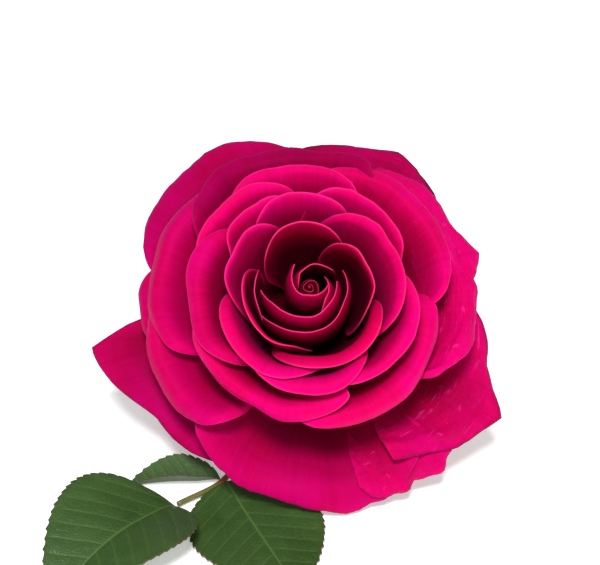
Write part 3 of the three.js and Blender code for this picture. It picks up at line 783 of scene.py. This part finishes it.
def stem():
    count, sides = 150, 28
    path = stem_points(count)
    share = np.linspace(0, 1, count)
    radii = STEM_RADIUS * (1 + 0.10 * np.exp(-(((share - LEAF_JOIN) / 0.02) ** 2)) - 0.03 * (1 - share))
    verts, faces = tube(path, radii, sides)
    blush = np.repeat(0.25 + 0.5 * np.clip(noise(share * 9, 0, 61), 0, 1), sides)
    cut = np.zeros(len(verts))
    cut[-1] = 1
    parts_v, parts_f = [verts], faces
    blushes, cuts, offset = [np.concatenate([blush, [0.2, 0.2]])], [cut], len(verts)
    for at_share, turn in PRICKLES:
        j = int(at_share * (count - 1))
        along = path[j + 1] - path[j - 1]
        along /= np.linalg.norm(along)
        out = np.array([0, 0, 1.0]) - along * along[2]
        out /= np.linalg.norm(out)
        a = math.radians(turn)
        out = out * math.cos(a) + np.cross(along, out) * math.sin(a)
        x = np.linspace(0, 1, 18)[:, None]
        spine = path[j] + out * (STEM_RADIUS * 0.7 + 4.4 * x) + along * (1.5 * x + 1.4 * x * x)
        thick = 2.3 * (1 - x[:, 0]) ** 1.6 + 0.12
        v, f = tube(spine, thick, 14)
        parts_v.append(v)
        parts_f += [face + offset for face in f]
        blushes.append(np.concatenate([np.repeat(0.6 + 0.4 * x[:, 0], 14), [0.6, 1.0]]))
        cuts.append(np.zeros(len(v)))
        offset += len(v)
    mesh_object(
        "rose_stem",
        np.concatenate(parts_v),
        parts_f,
        None,
        {"blush": np.concatenate(blushes), "cut": np.concatenate(cuts)},
        STEM,
        ["stem"],
    )


stem()

# ---- Leaf ----
def in_plan(x, y, z):
    return FLOOR_ORIGIN + np.array([x * BLOOM_RADIUS, y * BLOOM_RADIUS, z])


off_stem = np.array([-1, 0, -0.2]) / math.hypot(1, 0.2) * (STEM_RADIUS + 2 * GAP)
join = stem_points(1001)[int(LEAF_JOIN * 1000)] + off_stem
pair_point = in_plan(-0.46, -0.54, 1.4)
end_point = in_plan(-0.7, -0.75, 1.4)
rachis_path = catmull([join, in_plan(-0.27, 0.12, 8), in_plan(-0.4, -0.28, 3), pair_point, end_point], 90)


def rachis():
    share = np.linspace(0, 1, len(rachis_path))
    joint = np.argmin(np.linalg.norm(rachis_path - pair_point, axis=1)) / (len(rachis_path) - 1)
    swelling = 0.45 * np.exp(-((share / 0.05) ** 2)) + 0.18 * np.exp(-(((share - joint) / 0.02) ** 2))
    radii = RACHIS_RADIUS * (1 + swelling)
    sides = 16
    verts, faces = tube(rachis_path, radii, sides)
    blush = np.concatenate([np.repeat(0.35 + 0.65 * np.exp(-(((share - joint) / 0.06) ** 2)), sides), [0.3, 0.3]])
    values = {"blush": blush, "cut": np.zeros(len(verts))}
    mesh_object("rose_leaf_rachis", verts, faces, None, values, STEM, ["leaf_rachis"])


rachis()
LEAFLETS = [
    # name, base, heading, long and wide as shares of a full leaflet, broad (under 1 moves the widest place towards
    # the base), fold in degrees, arch in mm
    ("leaflet_end", end_point, 50, 1, 1.04, 0.7, 15, 6.5),
    ("leaflet_right", pair_point, 115, 1, 0.94, 0.8, 3, 0.0),
    ("leaflet_left", pair_point, 2, 0.52, 0.36, 0.85, 50, 1.0),
]


def leaflet(row, seed):
    name, base, heading, long, wide, broad, fold, arch = row
    a = math.radians(heading)
    ahead = np.array([-math.cos(a), -math.sin(a), 0.0])
    aside = np.array([ahead[1], -ahead[0], 0.0])
    length = long * LEAFLET_LENGTH
    rows, cols = int(length * 3.2), 60
    q = np.linspace(0, 1, rows + 1)[:, None]
    t = np.linspace(-1, 1, cols + 1)[None, :]
    half = 0.35 + wide * LEAFLET_WIDTH / 2 * np.sin(np.pi * q**broad) ** 0.8
    along = 1.5 + length * q
    # Saw teeth that point forwards, each made of a slow rise and a quick fall.
    phase = (length * q / TOOTH_PITCH + np.where(t < 0, 0.37, 0.0)) % 1.0
    tooth = (phase - 0.45) * (1 + 0.3 * noise(np.floor(length * q / TOOTH_PITCH), np.sign(t), seed))
    reach = smooth((np.abs(t) - 0.86) / 0.14)
    bite = 0.75 * tooth * reach * smooth(q / 0.06) * smooth((1 - q) / 0.05) * min(1.0, 0.45 + wide)
    x = half * t + np.sign(t) * bite
    forward = along + 0.9 * np.abs(bite) * reach
    # Side veins leave the midrib and curve towards the tip.
    mm_x = np.abs(half * t)
    spacing = length / 9.0
    lines = (length * q - 0.62 * mm_x - 0.006 * mm_x**2 + np.where(t < 0, 0.45 * spacing, 0.0)) / spacing
    off = np.abs(lines - np.round(lines)) * spacing
    side_vein = smooth(1 - off / 0.55) * smooth(1 - (mm_x / (half + 0.1) - 0.75) / 0.25)
    midrib = smooth(1 - mm_x / (0.55 * (1 - 0.7 * q) + 0.15))
    quilt = 0.2 * np.abs(np.sin(np.pi * lines)) * smooth(mm_x / 3.0) * smooth((half - mm_x) / 3.0)
    rise = np.abs(x) * math.sin(math.radians(fold)) + arch * np.sin(np.pi * np.clip(q * 1.15, 0, 1)) ** 0.8
    low = 0.2  # height of the midrib over the table
    height = base[2] + (low - base[2]) * smooth(q / 0.3) + rise + quilt
    ripple = (0.9 if fold < 30 else 0.4) * smooth((np.abs(t) - 0.35) / 0.65)
    ripple = ripple * (0.6 + 0.6 * noise(q * 4.2, np.sign(t) * 2.2, seed + 1)) * smooth(q / 0.2)
    height = height + np.maximum(ripple, 0)
    side = x * math.cos(math.radians(fold))
    points = base[None, None, :] * [1, 1, 0] + forward[..., None] * ahead + side[..., None] * aside
    points[..., 2] = height
    verts, faces = shell(points, LEAFLET_SHEET)
    vein = np.maximum(0.5 * side_vein, midrib) * np.ones_like(t)
    edge = smooth((np.abs(t) - 0.965) / 0.035) * np.ones_like(q)
    values = {"vein": np.tile(vein.ravel(), 2), "edge": np.tile(edge.ravel(), 2)}
    mesh_object("rose_" + name, verts, faces, None, values, LEAF, [name])


for k, row in enumerate(LEAFLETS):
    leaflet(row, 300 + 10 * k)

# ---- Floor, light and camera ----
floor_mesh = bpy.data.meshes.new("floor")
far, level = FLOOR_REACH * MM, -FLOOR_DROP * MM
floor_corners = [(-far, -far, level), (far, -far, level), (far, far, level), (-far, far, level)]
floor_mesh.from_pydata(floor_corners, [], [(0, 1, 2, 3)])
floor = bpy.data.objects.new("floor", floor_mesh)
bpy.context.scene.collection.objects.link(floor)
paper, tree, output = new_material("floor_paper")
fibres = node(tree, "ShaderNodeTexNoise", {"Scale": 400.0, "Detail": 3.0}).outputs["Fac"]
shade = mixed(tree, span(tree, fibres, 0.3, 0.7), (0.93, 0.93, 0.935), (0.95, 0.95, 0.95))
# The floor glows a little, like a light table.
lit = node(
    tree,
    "ShaderNodeBsdfPrincipled",
    {
        "Base Color": shade,
        "Roughness": 0.9,
        "Specular IOR Level": 0.1,
        "Emission Color": (1.0, 1.0, 1.0, 1.0),
        "Emission Strength": 0.28,
    },
).outputs[0]
tree.links.new(lit, output.inputs["Surface"])
floor_mesh.materials.append(paper)

CAMERA_TILT = 32.5  # degrees below the horizontal that the camera looks
elevation = math.radians(CAMERA_TILT)
to_camera = np.array([0.0, -math.cos(elevation), math.sin(elevation)])
up = np.array([0.0, math.sin(elevation), math.cos(elevation)])
bud = ORIGIN + AXIS * 48.0
aim = bud + np.array([-3.0, 0.0, 0.0]) + up * 1.4
distance = 520.0
LENS_SHARE = 0.198  # focal length over distance, so that the bloom keeps its size in the picture
camera_data = bpy.data.cameras.new("camera")
camera_data.lens = LENS_SHARE * distance
camera_data.clip_start = 0.01
camera_data.clip_end = 50
camera = bpy.data.objects.new("camera", camera_data)
bpy.context.scene.collection.objects.link(camera)
camera.location = Vector((aim + to_camera * distance) * MM)
camera.rotation_euler = Vector(-to_camera).to_track_quat("-Z", "Y").to_euler()
bpy.context.scene.camera = camera


def area(name, place, target, size, power):
    data = bpy.data.lights.new(name, "AREA")
    data.shape = "DISK"
    data.size = size
    data.energy = power
    obj = bpy.data.objects.new(name, data)
    bpy.context.scene.collection.objects.link(obj)
    obj.location = place
    obj.rotation_euler = (Vector(target) - Vector(place)).to_track_quat("-Z", "Y").to_euler()


centre = Vector(bud * MM)
area("key", centre + Vector((-0.05, -0.78, 1.06)), centre, 0.30, 22.0)
area("fill", centre + Vector((0.15, -1.30, 0.60)), centre, 0.9, 7.0)
world = bpy.data.worlds.new("studio")
bpy.context.scene.world = world
world.use_nodes = True
background = world.node_tree.nodes["Background"]
background.inputs["Color"].default_value = (1.0, 1.0, 1.0, 1.0)
background.inputs["Strength"].default_value = 0.36
bpy.context.scene.view_settings.view_transform = "Standard"
bpy.context.scene.view_settings.look = "None"
